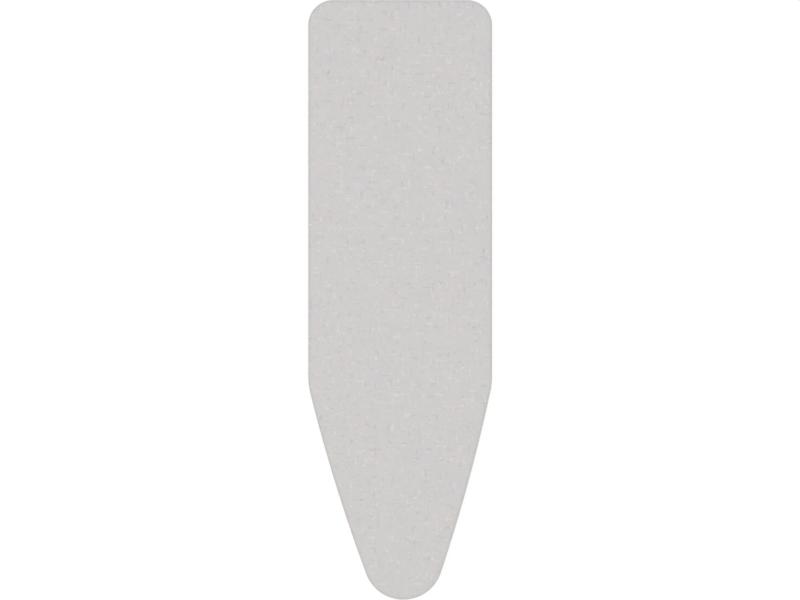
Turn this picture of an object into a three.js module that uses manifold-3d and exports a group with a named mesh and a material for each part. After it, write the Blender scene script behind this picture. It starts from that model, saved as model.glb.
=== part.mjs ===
// Ironing board cover with a padded top, a gathered skirt on a drawcord, a spring cord lock
// and three elastic straps. It is modelled as fitted, with the space inside that the board fills.
// Units are millimetres. +Z is up and +Y points to the square heel end, -Y to the nose.
// The origin is under the middle of the cover, on the surface that it lies on.

import * as THREE from "three";
import { mergeVertices } from "three/addons/utils/BufferGeometryUtils.js";
import Module from "manifold-3d";

const wasm = await Module();
wasm.setup();

// Outline of the cover, seen from above
const coverLength = 1240;
const coverWidth = 380;
const heelCornerRadius = 52;
const straightSideLength = 778;
const shoulderRadius = 150;
const taperBowRadius = 3500;
const noseRadius = 82;
const noseOffset = 6.5;

// Layers and the space for the board
const boardThickness = 20;
const underBoardDepth = 12;
const clothThickness = 0.6;
const foamThickness = 2;
const feltThickness = 4;
const topRollRadius = 6;
const lowerFoldRadius = 4;

// Clearances: between pieces that touch, and round pieces that slide or turn
const seatGap = 0.3;
const slideGap = 0.4;
const cutOverrun = 5;

// Drawcord and the tape that binds the hem round it
const cordRadius = 1.5;
const cordHeight = 5;
const tapeThickness = 0.7;
const hemInset = 46;
const hemCornerRadius = 30;
const flapLength = 8;
const bindingMouthGap = 24;
const gatherDepth = 2.2;
const gatherPlaceShare = 0.5;

// Cord lock: barrel, plunger button and spring
const lockCordBend = 8;
const lockStandoff = 4;
const lockHeight = 9.4;
const lockWidth = 12;
const lockCornerRadius = 3.6;
const lockWall = 1.2;
const lockEndWall = 2;
const lockTravel = 3.5;
const lockFlangeThickness = 2.2;
const lockFlangeReach = 1.3;
const lockMouthRim = 2;
const lockEdgeBevel = 0.6;
const slideTravel = 30;
const buttonCapRadius = 4.5;
const buttonCapThickness = 3.4;
const buttonCapRound = 1.3;
const buttonStemEnd = 1.6;
const springLength = 7.5;
const springWireRadius = 0.25;
const springPilotRadius = 1.6;
const springPilotLength = 0.9;

// Moulded end that holds both cord tails
const cordEndLength = 16;
const cordEndRadius = 4.8;
const cordEndNeckRadius = 4.6;
const cordEndRound = 1.2;
const cordEndGripDepth = 10;

// Elastic straps and their hooks, placed along the straight sides from the heel
const heelStrapShare = 0.28;
const middleStrapShare = 0.615;
const noseStrapShare = 0.95;
const strapWidth = 25;
const strapThickness = 1.2;
const strapReturnLength = 30;
const strapLoopLength = 10;
const hookBarRadius = 1.4;
const hookEyeRadius = 2.2;
const hookReach = 22;
const hookPlateThickness = 1.8;
const hookArmWidth = 2.6;
const hookClawThickness = 2.2;
const hookArmRun = 8;

// Numbers of facets
const cornerFacets = 10;
const halfNoseFacets = 10;
const sideFacets = 3;
const shoulderFacets = 3;
const taperFacets = 5;
const heelFacets = 2;
const rollFacets = 3;
const padFacets = 3;
const roundFacets = 24;
const cordSides = 8;
const bendFacets = 5;
const beadFacets = 6;
const boreFacets = 5;
const barFacets = 12;
const hookFacets = 6;
const strapFacets = 8;
const springTurns = 5;
const springStepsPerTurn = 8;
const springSides = 5;

// Heights that follow from the layers
const boardTop = underBoardDepth + boardThickness;
const feltTop = boardTop + feltThickness;
const foamBottom = feltTop + seatGap;
const foamTop = foamBottom + foamThickness;
const coverTop = foamTop + seatGap + clothThickness;
const liningInset = clothThickness + seatGap;
const skirtFoldHeight = underBoardDepth - seatGap - clothThickness;

// The hem binding's section follows the cord: u runs outwards from the cord's centre, v upwards
const boreRadius = cordRadius + slideGap;
const beadRadius = boreRadius + tapeThickness;
const flapReach = beadRadius + flapLength;
const slotTop = boreRadius;
const slotBottom = slotTop - clothThickness - 2 * seatGap;
const flapUnderside = slotBottom - tapeThickness;
const clothRise = (slotTop + slotBottom) / 2;
const hemLineX = coverWidth / 2 - hemInset;
const hemLineY = coverLength / 2 - hemInset;

const at = (x, y, z) => new THREE.Vector3(x, y, z);
const flat = (x, y) => new THREE.Vector2(x, y);
const degrees = THREE.MathUtils.degToRad;

const plastic = (color, roughness) => new THREE.MeshStandardMaterial({ color, roughness, metalness: 0 });
const materials = {
  cloth: new THREE.MeshStandardMaterial({ color: 0xcfcdcb, roughness: 0.55, metalness: 0.25 }),
  foam: plastic(0xe9e6dc, 0.95),
  felt: plastic(0xd9d7d0, 1),
  tape: plastic(0xc4c3c1, 0.9),
  cord: plastic(0xe8e8e6, 0.85),
  lock: plastic(0x6f7275, 0.5),
  button: plastic(0x5a5d60, 0.5),
  strap: plastic(0xf0efeb, 0.8),
  hook: plastic(0xdedfdf, 0.4),
  spring: new THREE.MeshStandardMaterial({ color: 0xb9bcc0, roughness: 0.3, metalness: 1 }),
};

const cover = new THREE.Group();

function add(name, geometry, material, parent = cover) {
  const mesh = new THREE.Mesh(geometry, material);
  mesh.name = name;
  parent.add(mesh);
  return mesh;
}

// Solids for boolean cuts and joins
function toSolid(geometry) {
  const bare = new THREE.BufferGeometry();
  const plain = geometry.index ? geometry.toNonIndexed() : geometry;
  bare.setAttribute("position", plain.getAttribute("position"));
  const merged = mergeVertices(bare);
  return new wasm.Manifold(
    new wasm.Mesh({
      numProp: 3,
      vertProperties: merged.attributes.position.array,
      triVerts: new Uint32Array(merged.index.array),
    }),
  );
}

function toGeometry(solid) {
  const mesh = solid.getMesh();
  const geometry = new THREE.BufferGeometry();
  geometry.setAttribute("position", new THREE.BufferAttribute(mesh.vertProperties, 3));
  geometry.setIndex(new THREE.BufferAttribute(mesh.triVerts, 1));
  geometry.computeVertexNormals();
  return geometry;
}

// A closed skin over rings of equally many points. The ends are closed by the two flat contours,
// which run anticlockwise for someone who looks from the first ring towards the last.
function skin(rings, firstContour, lastContour) {
  const count = rings[0].length;
  const points = rings.flat().flatMap((p) => [p.x, p.y, p.z]);
  const faces = [];
  for (let r = 0; r + 1 < rings.length; r++) {
    for (let i = 0; i < count; i++) {
      const a = r * count + i;
      const b = r * count + ((i + 1) % count);
      faces.push(a, a + count, b, b, a + count, b + count);
    }
  }
  for (const [p, q, s] of THREE.ShapeUtils.triangulateShape(firstContour, [])) {
    faces.push(p, q, s);
  }
  const last = (rings.length - 1) * count;
  for (const [p, q, s] of THREE.ShapeUtils.triangulateShape(lastContour, [])) {
    faces.push(last + p, last + s, last + q);
  }
  const geometry = new THREE.BufferGeometry();
  geometry.setAttribute("position", new THREE.Float32BufferAttribute(points, 3));
  geometry.setIndex(faces);
  geometry.computeVertexNormals();
  return geometry;
}

// The bow of the taper is a large arc that touches the shoulder's arc and the nose's arc from outside.
function bowCentre(shoulder, shoulderR, nose, noseR, bowR, side) {
  const between = nose.clone().sub(shoulder);
  const distance = between.length();
  const fromShoulder = bowR - shoulderR;
  const fromNose = bowR - noseR;
  const along = (fromShoulder ** 2 - fromNose ** 2 + distance ** 2) / (2 * distance);
  const across = Math.sqrt(fromShoulder ** 2 - along ** 2);
  const unit = between.normalize();
  const inwards = flat(-unit.y, unit.x).multiplyScalar(-side);
  return shoulder.clone().addScaledVector(unit, along).addScaledVector(inwards, across);
}

// Points along an arc, without its first one
function arcPoints(centre, radius, from, to, facets) {
  const points = [];
  for (let i = 1; i <= facets; i++) {
    const angle = from + ((to - from) * i) / facets;
    const outward = flat(Math.cos(angle), Math.sin(angle));
    points.push({ p: centre.clone().addScaledVector(outward, radius), n: outward });
  }
  return points;
}

function linePoints(from, to, outward, facets) {
  const points = [];
  for (let i = 1; i <= facets; i++) {
    points.push({ p: from.clone().lerp(to, i / facets), n: outward.clone() });
  }
  return points;
}

// The outline at an inset, anticlockwise from the left end of the heel's middle stretch to its right end.
// Every inset has as many points, so that two outlines can be joined point by point.
function outline(inset, cornerRadius) {
  const halfWidth = coverWidth / 2 - inset;
  const heel = coverLength / 2 - inset;
  const shoulderR = shoulderRadius - inset;
  const noseR = noseRadius - inset;
  const bowR = taperBowRadius - inset;
  const taperStart = coverLength / 2 - straightSideLength;
  const nose = flat(noseOffset, noseRadius - coverLength / 2);
  const halves = [-1, 1].map((side) => {
    const shoulder = flat(side * (coverWidth / 2 - shoulderRadius), taperStart);
    const bow = bowCentre(shoulder, shoulderR, nose, noseR, bowR, side);
    const corner = flat(side * (halfWidth - cornerRadius), heel - cornerRadius);
    const outward = flat(side, 0);
    const shoulderEnd = shoulder.clone().sub(bow).angle();
    const noseStart = nose.clone().sub(bow).angle();
    return { side, shoulder, bow, corner, outward, shoulderEnd, noseStart };
  });
  const [left, right] = halves;
  const up = flat(0, 1);
  const half = bindingMouthGap / 2;
  const turn = 2 * Math.PI;
  const start = { p: flat(-half, heel), n: up.clone() };
  const sideStart = (h) => flat(h.side * halfWidth, h.corner.y);
  const sideEnd = (h) => flat(h.side * halfWidth, taperStart);
  return [
    start,
    ...linePoints(start.p, flat(left.corner.x, heel), up, heelFacets),
    ...arcPoints(left.corner, cornerRadius, degrees(90), degrees(180), cornerFacets),
    ...linePoints(sideStart(left), sideEnd(left), left.outward, sideFacets),
    ...arcPoints(left.shoulder, shoulderR, degrees(180), left.shoulderEnd, shoulderFacets),
    ...arcPoints(left.bow, bowR, left.shoulderEnd, left.noseStart, taperFacets),
    ...arcPoints(nose, noseR, left.noseStart, degrees(270), halfNoseFacets),
    ...arcPoints(nose, noseR, degrees(270), right.noseStart, halfNoseFacets),
    ...arcPoints(right.bow, bowR, right.noseStart, right.shoulderEnd, taperFacets),
    ...arcPoints(right.shoulder, shoulderR, right.shoulderEnd, turn, shoulderFacets),
    ...linePoints(sideEnd(right), sideStart(right), right.outward, sideFacets),
    ...arcPoints(right.corner, cornerRadius, 0, degrees(90), cornerFacets),
    ...linePoints(flat(right.corner.x, heel), flat(half, heel), up, heelFacets),
  ];
}

const edge = outline(0, heelCornerRadius);
const hem = outline(hemInset, hemCornerRadius);

// A ring on the cover's own outline, at an inset that is square to it
const edgeRing = (inset, z) =>
  edge.map(({ p, n }) => at(p.x - n.x * inset, p.y - n.y * inset, z));

// A ring at u outwards from the drawcord, square to the hem
const hemRing = (u, z) => hem.map(({ p, n }) => at(p.x + n.x * u, p.y + n.y * u, z));

const contourOf = (ring) => ring.map((p) => flat(p.x, p.y));

// A plate whose section chain runs from its top face outwards and down to its lower face
function plate(rings) {
  return skin(rings, contourOf(rings[0]), contourOf(rings[rings.length - 1]));
}

// Rings at a depth under the cover's outer face that turn its rolled top edge, from level to upright
function rollRings(depth) {
  const radius = topRollRadius - depth;
  const rings = [];
  for (let i = 0; i <= rollFacets; i++) {
    const angle = degrees(90) * (i / rollFacets);
    const rise = radius * Math.cos(angle);
    rings.push(edgeRing(topRollRadius - radius * Math.sin(angle), coverTop - topRollRadius + rise));
  }
  return rings;
}

// Gathers: the skirt's middle ring rises and falls where the hem is drawn in round a curve
function gatherLift(i) {
  const cornerStart = heelFacets;
  const noseStart = cornerStart + cornerFacets + sideFacets + shoulderFacets + taperFacets;
  const last = edge.length - 1;
  const inCorner = (k) => k > cornerStart && k < cornerStart + cornerFacets;
  const inNose = i > noseStart && i < noseStart + 2 * halfNoseFacets;
  const gathered = inCorner(i) || inCorner(last - i) || inNose;
  return gathered ? (i % 2 ? gatherDepth : -gatherDepth) / 2 : 0;
}

// One cut of cloth: top panel, rolled edge, side wall and the skirt that turns under to the hem.
// Its outer face is listed from the top panel to the hem, and its inner face back again.
function clothRings() {
  const face = (depth) => {
    const slot = cordHeight + clothRise - clothThickness / 2 + depth;
    const foldRing = edgeRing(lowerFoldRadius, skirtFoldHeight + depth);
    const flapRing = hemRing(flapReach + seatGap, slot);
    const gatherRing = foldRing.map((p, i) => {
      const q = p.clone().lerp(flapRing[i], gatherPlaceShare);
      q.z += gatherLift(i);
      return q;
    });
    return [
      ...rollRings(depth),
      edgeRing(depth, skirtFoldHeight + lowerFoldRadius),
      foldRing,
      gatherRing,
      flapRing,
      hemRing(beadRadius, slot),
    ];
  };
  return [...face(0), ...face(clothThickness).reverse()];
}

add("cover_fabric", plate(clothRings()), materials.cloth);

// The padding's edge at a height: it follows the rolled edge of the cloth that covers it
function padRing(z) {
  const radius = topRollRadius - liningInset;
  const rise = Math.max(z - (coverTop - topRollRadius), 0);
  return edgeRing(topRollRadius - Math.sqrt(Math.max(radius ** 2 - rise ** 2, 0)), z);
}

function pad(bottom, top) {
  const rings = [];
  for (let i = 0; i <= padFacets; i++) {
    rings.push(padRing(top + ((bottom - top) * i) / padFacets));
  }
  return plate(rings);
}

add("foam_layer", pad(foamBottom, foamTop), materials.foam);
add("felt_pad", pad(boardTop, feltTop), materials.felt);

// A tube of one section along stations that each have a place p and an outward direction n
function sweep(stations, section) {
  const rings = stations.map(({ p, n }) =>
    section.map(({ x: u, y: v }) => at(p.x + n.x * u, p.y + n.y * u, cordHeight + v)),
  );
  return skin(rings, section, section);
}

const ringPoint = (radius, angle) => flat(radius * Math.cos(angle), radius * Math.sin(angle));

const arcOf = (radius, from, to, facets) =>
  Array.from({ length: facets + 1 }, (_, i) => ringPoint(radius, from + ((to - from) * i) / facets));

// Folded tape round the cord, with two flaps that hold the cloth's edge between them
function bindingSection() {
  const flapAngle = Math.asin(flapUnderside / beadRadius);
  const slotAngle = Math.asin(slotBottom / boreRadius);
  return [
    flat(flapReach, beadRadius),
    ...arcOf(beadRadius, degrees(90), 2 * Math.PI + flapAngle, beadFacets),
    flat(flapReach, flapUnderside),
    flat(flapReach, slotBottom),
    ...arcOf(boreRadius, slotAngle, degrees(-270), boreFacets),
    flat(flapReach, slotTop),
  ];
}

add("hem_binding", sweep(hem, bindingSection()), materials.tape);

// The drawcord runs from the cord end through the lock, round the hem inside its tape, and back
const cordSpacing = cordRadius + seatGap / 2;
const bendCentreY = hemLineY - lockCordBend;
const lockFront = bendCentreY - lockStandoff;
const lockCentreY = lockFront - lockWidth / 2;
const cordEndFront = lockFront - lockWidth - slideTravel - 2 * seatGap;
const cordTailY = cordEndFront - cordEndGripDepth + seatGap;

function drawcordStations() {
  const tail = (side) => [
    { p: flat(side * cordSpacing, cordTailY), n: flat(-1, 0) },
    { p: flat(side * cordSpacing, bendCentreY), n: flat(-1, 0) },
  ];
  const bend = (side) => {
    const centre = flat(side * (cordSpacing + lockCordBend), bendCentreY);
    const turn = [];
    for (let i = 1; i <= bendFacets; i++) {
      const angle = degrees(90) * (i / bendFacets);
      const across = flat(-side * Math.cos(angle), Math.sin(angle));
      turn.push({ p: centre.clone().addScaledVector(across, lockCordBend), n: across });
    }
    return turn;
  };
  const leftTail = tail(-1).map(({ p }) => ({ p, n: flat(1, 0) }));
  const rightTail = tail(1);
  return [...leftTail, ...bend(-1), ...hem, ...bend(1).reverse(), ...rightTail.reverse()];
}

const cordSection = [];
for (let i = 0; i < cordSides; i++) {
  cordSection.push(ringPoint(cordRadius, degrees(360) * (i / cordSides)));
}
add("drawcord", sweep(drawcordStations(), cordSection), materials.cord);

// Extrudes a shape along X, with its middle at this place. The shape's own axes become Y and Z.
function alongX(shape, from, to, bevel = 0) {
  const geometry = new THREE.ExtrudeGeometry(shape, {
    depth: to - from - 2 * bevel,
    bevelEnabled: bevel > 0,
    bevelThickness: bevel,
    bevelSize: bevel,
    bevelOffset: -bevel,
    bevelSegments: 2,
    curveSegments: 4,
  });
  geometry.applyMatrix4(new THREE.Matrix4().makeBasis(at(0, 1, 0), at(0, 0, 1), at(1, 0, 0)));
  return geometry.translate(from + bevel, 0, 0);
}

function roundedRectangle(width, height, radius) {
  const x = width / 2;
  const y = height / 2;
  const shape = new THREE.Shape();
  shape.moveTo(x - radius, -y);
  shape.absarc(x - radius, -y + radius, radius, degrees(-90), 0);
  shape.absarc(x - radius, y - radius, radius, 0, degrees(90));
  shape.absarc(-x + radius, y - radius, radius, degrees(90), degrees(180));
  shape.absarc(-x + radius, -y + radius, radius, degrees(180), degrees(270));
  return shape;
}

// The slot that both cords pass through, along Y, between two places along X
function cordPassage(left, right, halfHeight, length) {
  const geometry = new THREE.ExtrudeGeometry(
    roundedRectangle(right - left, 2 * halfHeight, halfHeight - seatGap / 2),
    { depth: length, bevelEnabled: false, curveSegments: 4 },
  );
  geometry.applyMatrix4(new THREE.Matrix4().makeBasis(at(1, 0, 0), at(0, 0, 1), at(0, -1, 0)));
  return geometry.translate((left + right) / 2, length / 2, 0);
}

// Cord lock, about its own centre: the press axis is X and the cords run along Y
const passageHalfWidth = cordSpacing + cordRadius + seatGap;
const passageHalfHeight = cordRadius + slideGap;
const stemBoreRadius = lockHeight / 2 - lockWall;
const stemRadius = stemBoreRadius - seatGap;
const lockMouth = passageHalfWidth + lockTravel + lockMouthRim;
const stemEnd = -passageHalfWidth - buttonStemEnd;
const boreEnd = stemEnd - springLength;
const lockTail = boreEnd - lockEndWall;
const capBase = lockMouth + lockTravel + seatGap;

function lockBody() {
  const barrel = roundedRectangle(lockWidth, lockHeight, lockCornerRadius);
  const flangeShape = roundedRectangle(lockWidth + 2 * lockFlangeReach, lockHeight, lockCornerRadius);
  const bore = new THREE.CylinderGeometry(
    stemBoreRadius, stemBoreRadius, lockMouth - boreEnd + cutOverrun, roundFacets,
  );
  bore.rotateZ(degrees(90)).translate((lockMouth + boreEnd + cutOverrun) / 2, 0, 0);
  const passage = cordPassage(
    -passageHalfWidth, passageHalfWidth, passageHalfHeight, lockWidth + 2 * cutOverrun,
  );
  return toGeometry(
    toSolid(alongX(barrel, lockTail, lockMouth, lockEdgeBevel))
      .add(toSolid(alongX(flangeShape, lockTail, lockTail + lockFlangeThickness, lockEdgeBevel)))
      .subtract(toSolid(bore))
      .subtract(toSolid(passage)),
  );
}

// Turns a profile of [radius, place along X] round the X axis
function turned(profile) {
  const points = profile.map(([radius, place]) => flat(radius, place));
  return new THREE.LatheGeometry(points, roundFacets).rotateZ(degrees(-90));
}

function lockButton() {
  const capTop = capBase + buttonCapThickness;
  const blank = turned([
    [0, stemEnd - springPilotLength],
    [springPilotRadius, stemEnd - springPilotLength],
    [springPilotRadius, stemEnd],
    [stemRadius, stemEnd],
    [stemRadius, capBase],
    [buttonCapRadius, capBase],
    [buttonCapRadius, capTop - buttonCapRound],
    [buttonCapRadius - buttonCapRound / 2, capTop - buttonCapRound / 4],
    [buttonCapRadius - buttonCapRound * 1.5, capTop],
    [0, capTop],
  ]);
  const window = cordPassage(
    -passageHalfWidth, passageHalfWidth + lockTravel, passageHalfHeight, 2 * stemRadius + cutOverrun,
  );
  return toGeometry(toSolid(blank).subtract(toSolid(window)));
}

// The least distance between points of a line that are at least this many steps apart
function leastDistance(points, stepsApart) {
  let least = Infinity;
  for (let i = 0; i < points.length; i++) {
    for (let k = i + stepsApart; k < points.length; k++) {
      least = Math.min(least, points[i].distanceTo(points[k]));
    }
  }
  return least;
}

// A compression spring between the bore's end and the plunger, wound round the X axis
function lockSpring() {
  const coilRadius = stemRadius - seatGap - springWireRadius;
  const from = boreEnd + seatGap + springWireRadius;
  const run = springLength - 2 * (seatGap + springWireRadius);
  const steps = springTurns * springStepsPerTurn;
  const centre = (t) => {
    const angle = 2 * Math.PI * springTurns * t;
    return at(from + run * t, coilRadius * Math.cos(angle), coilRadius * Math.sin(angle));
  };
  const section = [];
  for (let k = 0; k < springSides; k++) {
    section.push(ringPoint(springWireRadius, (2 * Math.PI * k) / springSides));
  }
  const rings = [];
  const centres = [];
  for (let i = 0; i <= steps; i++) {
    const angle = 2 * Math.PI * springTurns * (i / steps);
    const radial = at(0, Math.cos(angle), Math.sin(angle));
    const axial = at(1, 0, 0);
    const middle = centre(i / steps);
    centres.push(middle);
    rings.push(
      section.map(({ x: u, y: v }) =>
        middle.clone().addScaledVector(radial, u).addScaledVector(axial, v)),
    );
  }
  const gap = leastDistance(centres, springStepsPerTurn / 2) - 2 * springWireRadius;
  console.log(`lock_spring: least gap between its turns ${gap.toFixed(2)} mm`);
  return skin(rings, section, section);
}

const lock = new THREE.Group();
lock.position.set(0, lockCentreY, cordHeight);
cover.add(lock);
add("lock_body", lockBody(), materials.lock, lock);
add("lock_button", lockButton(), materials.button, lock);
add("lock_spring", lockSpring(), materials.spring, lock);

// Cord end: turned round Y, with one blind slot for both tails
function cordEnd() {
  const back = -cordEndLength;
  const blank = new THREE.LatheGeometry(
    [
      flat(0, back),
      flat(cordEndRadius - cordEndRound, back),
      flat(cordEndRadius, back + cordEndRound),
      flat(cordEndNeckRadius, -cordEndRound / 2),
      flat(cordEndNeckRadius - cordEndRound / 2, 0),
      flat(0, 0),
    ],
    roundFacets,
  );
  const slot = cordPassage(
    -passageHalfWidth, passageHalfWidth, passageHalfHeight, 2 * cordEndGripDepth,
  );
  return toGeometry(toSolid(blank).subtract(toSolid(slot)));
}

add("cord_end", cordEnd(), materials.lock).position.set(0, cordEndFront, cordHeight);

// Elastic strap, flat on the floor, with a sewn loop round each hook's bar
const loopInner = hookBarRadius + seatGap;
const loopOuter = loopInner + strapThickness;
const barHeight = loopOuter;
const barX = hemLineX - hookReach;

const loopStart = barX - strapLoopLength;
const loopWrap = degrees(110);

function strapOutline() {
  const top = 2 * strapThickness;
  const returnEnd = barX - strapReturnLength;
  const shape = new THREE.Shape();
  shape.moveTo(-barX, 0);
  shape.lineTo(barX, 0);
  shape.absarc(barX, barHeight, loopOuter, degrees(-90), loopWrap);
  shape.lineTo(loopStart, top);
  shape.lineTo(returnEnd, top);
  shape.lineTo(returnEnd, strapThickness);
  shape.lineTo(-returnEnd, strapThickness);
  shape.lineTo(-returnEnd, top);
  shape.lineTo(-loopStart, top);
  shape.absarc(-barX, barHeight, loopOuter, degrees(180) - loopWrap, degrees(270));
  return shape;
}

function loopOpening() {
  const shape = new THREE.Shape();
  shape.moveTo(loopStart + strapThickness, strapThickness);
  shape.lineTo(barX, strapThickness);
  shape.absarc(barX, barHeight, loopInner, degrees(-90), loopWrap);
  return shape;
}

function strap() {
  const opening = alongY(loopOpening(), strapWidth + cutOverrun, strapFacets);
  const mirrored = opening.clone().rotateZ(Math.PI);
  return toGeometry(
    toSolid(alongY(strapOutline(), strapWidth, strapFacets))
      .subtract(toSolid(opening))
      .subtract(toSolid(mirrored)),
  );
}

// Extrudes a shape along Y about its middle. The shape's own axes become X and Z.
function alongY(shape, width, curveSegments) {
  const geometry = new THREE.ExtrudeGeometry(shape, { depth: width, bevelEnabled: false, curveSegments });
  geometry.applyMatrix4(new THREE.Matrix4().makeBasis(at(1, 0, 0), at(0, 0, 1), at(0, -1, 0)));
  return geometry.translate(0, width / 2, 0);
}

// Hook, about its bar: a plate runs under the hem's bead and a claw turns up behind it
function hook() {
  const width = strapWidth + 2 * (slideGap + hookArmWidth);
  const plateTop = cordHeight - beadRadius - seatGap - barHeight;
  const plateBottom = plateTop - hookPlateThickness;
  const clawInner = hookReach + beadRadius + slideGap;
  const clawOuter = clawInner + hookClawThickness;
  const clawTop = cordHeight + flapUnderside - slideGap - barHeight;
  const round = hookClawThickness / 2;
  const profile = new THREE.Shape();
  profile.moveTo(0, -hookEyeRadius);
  profile.absarc(0, 0, hookEyeRadius, degrees(270), degrees(70), true);
  profile.lineTo(hookArmRun, plateTop);
  profile.lineTo(clawInner, plateTop);
  profile.lineTo(clawInner, clawTop - round);
  profile.absarc(clawInner + round, clawTop - round, round, degrees(180), 0, true);
  profile.lineTo(clawOuter, plateTop);
  profile.absarc(
    clawOuter - hookPlateThickness, plateTop, hookPlateThickness, 0, degrees(-90), true,
  );
  profile.lineTo(hookArmRun / 2, plateBottom);
  const slotEnd = loopOuter + slideGap;
  const windowWidth = strapWidth + 2 * slideGap;
  const windowLength = slotEnd + hookBarRadius + cutOverrun;
  const window = new THREE.BoxGeometry(windowLength, windowWidth, 2 * (loopOuter + cutOverrun));
  window.translate(slotEnd - windowLength / 2, 0, 0);
  const bar = new THREE.CylinderGeometry(
    hookBarRadius, hookBarRadius, windowWidth + hookArmWidth, barFacets,
  );
  return toGeometry(
    toSolid(alongY(profile, width, hookFacets)).subtract(toSolid(window)).add(toSolid(bar)),
  );
}

const strapShares = { heel: heelStrapShare, middle: middleStrapShare, nose: noseStrapShare };
for (const [place, share] of Object.entries(strapShares)) {
  const y = coverLength / 2 - share * straightSideLength;
  add(`strap_${place}`, strap(), materials.strap).position.y = y;
  for (const [side, name] of [[-1, "left"], [1, "right"]]) {
    const mesh = add(`hook_${place}_${name}`, hook(), materials.hook);
    mesh.position.set(side * barX, y, barHeight);
    mesh.rotation.z = side > 0 ? 0 : Math.PI;
  }
}

export default cover;
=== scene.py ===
import math
from math import pi

import bmesh
import bpy
import numpy as np
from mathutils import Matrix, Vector
from mathutils.geometry import delaunay_2d_cdt

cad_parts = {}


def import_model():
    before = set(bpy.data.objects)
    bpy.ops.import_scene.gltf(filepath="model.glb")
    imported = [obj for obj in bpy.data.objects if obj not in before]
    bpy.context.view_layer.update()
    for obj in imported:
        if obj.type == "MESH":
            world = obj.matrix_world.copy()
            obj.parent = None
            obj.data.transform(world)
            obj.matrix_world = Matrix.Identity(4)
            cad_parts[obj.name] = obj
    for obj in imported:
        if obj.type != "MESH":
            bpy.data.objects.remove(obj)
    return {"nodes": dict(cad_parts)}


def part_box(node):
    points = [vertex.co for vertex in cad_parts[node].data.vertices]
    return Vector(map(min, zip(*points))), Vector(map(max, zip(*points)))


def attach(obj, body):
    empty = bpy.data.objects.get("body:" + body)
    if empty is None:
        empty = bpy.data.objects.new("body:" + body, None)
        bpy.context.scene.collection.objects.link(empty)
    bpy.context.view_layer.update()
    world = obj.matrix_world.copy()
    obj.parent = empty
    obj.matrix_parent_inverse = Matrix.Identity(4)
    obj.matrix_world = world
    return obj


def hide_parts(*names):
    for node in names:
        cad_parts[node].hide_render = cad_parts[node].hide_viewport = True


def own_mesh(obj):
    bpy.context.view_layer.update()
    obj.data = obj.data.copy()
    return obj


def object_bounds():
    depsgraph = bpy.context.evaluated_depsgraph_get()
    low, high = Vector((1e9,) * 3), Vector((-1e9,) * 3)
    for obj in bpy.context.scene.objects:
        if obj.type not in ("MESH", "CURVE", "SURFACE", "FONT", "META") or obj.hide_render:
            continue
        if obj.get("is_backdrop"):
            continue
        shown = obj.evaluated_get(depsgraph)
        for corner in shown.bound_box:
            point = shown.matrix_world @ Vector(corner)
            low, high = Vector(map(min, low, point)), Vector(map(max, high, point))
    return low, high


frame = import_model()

cad_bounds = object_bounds()
scene = bpy.context.scene

# An ironing board cover as fitted, with its padding, drawcord, lock and straps.
# Sizes and places are in millimetres, and each mesh turns them into metres when it is made.
MM = 0.001


def box_mm(node):
    low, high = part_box(node)
    return np.array(low) / MM, np.array(high) / MM


def configure(thing, **settings):
    for key, value in settings.items():
        setattr(thing, key, value)


def add_object(name, data):
    made = bpy.data.objects.new(name, data)
    scene.collection.objects.link(made)
    return made


# Sizes that the frame gives
cloth_low, cloth_high = box_mm("cover_fabric")
cord_low, cord_high = box_mm("drawcord")
binding_low, binding_high = box_mm("hem_binding")
COVER_WIDTH, COVER_LENGTH, _ = cloth_high - cloth_low
COVER_TOP = cloth_high[2]
SLOT_HEIGHT = cloth_low[2]
CORD_RADIUS = (cord_high[2] - cord_low[2]) / 2
CORD_HEIGHT = (cord_high[2] + cord_low[2]) / 2
CORD_END_Y = box_mm("cord_end")[1][1]
BEAD_RADIUS = (binding_high[2] - binding_low[2]) / 2
HEM_INSET = COVER_WIDTH / 2 - (cord_high[0] - CORD_RADIUS)
HEM_LINE_Y = COVER_LENGTH / 2 - HEM_INSET

# Sizes that the CAD source sets, and the frame doesn't show
HEEL_CORNER_RADIUS = 52
STRAIGHT_SIDE = 778
SHOULDER_RADIUS = 150
TAPER_BOW_RADIUS = 3500
NOSE_RADIUS = 82
NOSE_OFFSET = 6.5
HEM_CORNER_RADIUS = 30
BINDING_MOUTH = 24
CLOTH_THICKNESS = 0.6
ROLL_RADIUS = 6
FOLD_RADIUS = 4
FOLD_HEIGHT = 11.1
SEAT_GAP = 0.3
TAPE_THICKNESS = 0.7
FLAP_REACH = 10.6
BORE_RADIUS = 1.9
CORD_BEND_RADIUS = 8
CORD_SPACING = 1.65
STRAP_THICKNESS = 1.2
STRAP_BAR_X = 122
STRAP_BAR_HEIGHT = 2.9
STRAP_LOOP_RADIUS = 2.3
STRAP_LOOP_LENGTH = 10
STRAP_RETURN = 30
STRAP_PLACES = ("heel", "middle", "nose")

# Pleats of the skirt
FREE_PLEAT = 17.0
GATHERED_PLEAT = 6.6
GATHER_FADE = 55.0
STATIONS_PER_PLEAT = 8
FREE_PLEAT_DEPTH = 1.4
GATHERED_PLEAT_DEPTH = 2.3
LEAN_WAVES = ((0.5, 6, 5), (0.15, 1, 6))
DEPTH_WAVES = ((0.25, 1, 7), (0.12, 3, 8))
RISE_WAVES = ((0.2, 1, 9),)

# Camera: straight above, far away, with the photograph's frame
PHOTO_SCALE = 2.0677
IMAGE_WIDTH = 800
CAMERA_LENS = 200
CAMERA_SENSOR = 36
PHOTO_CENTRE = (-0.33, -0.31)
OUTLINE_HEIGHT = COVER_TOP - ROLL_RADIUS

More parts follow.
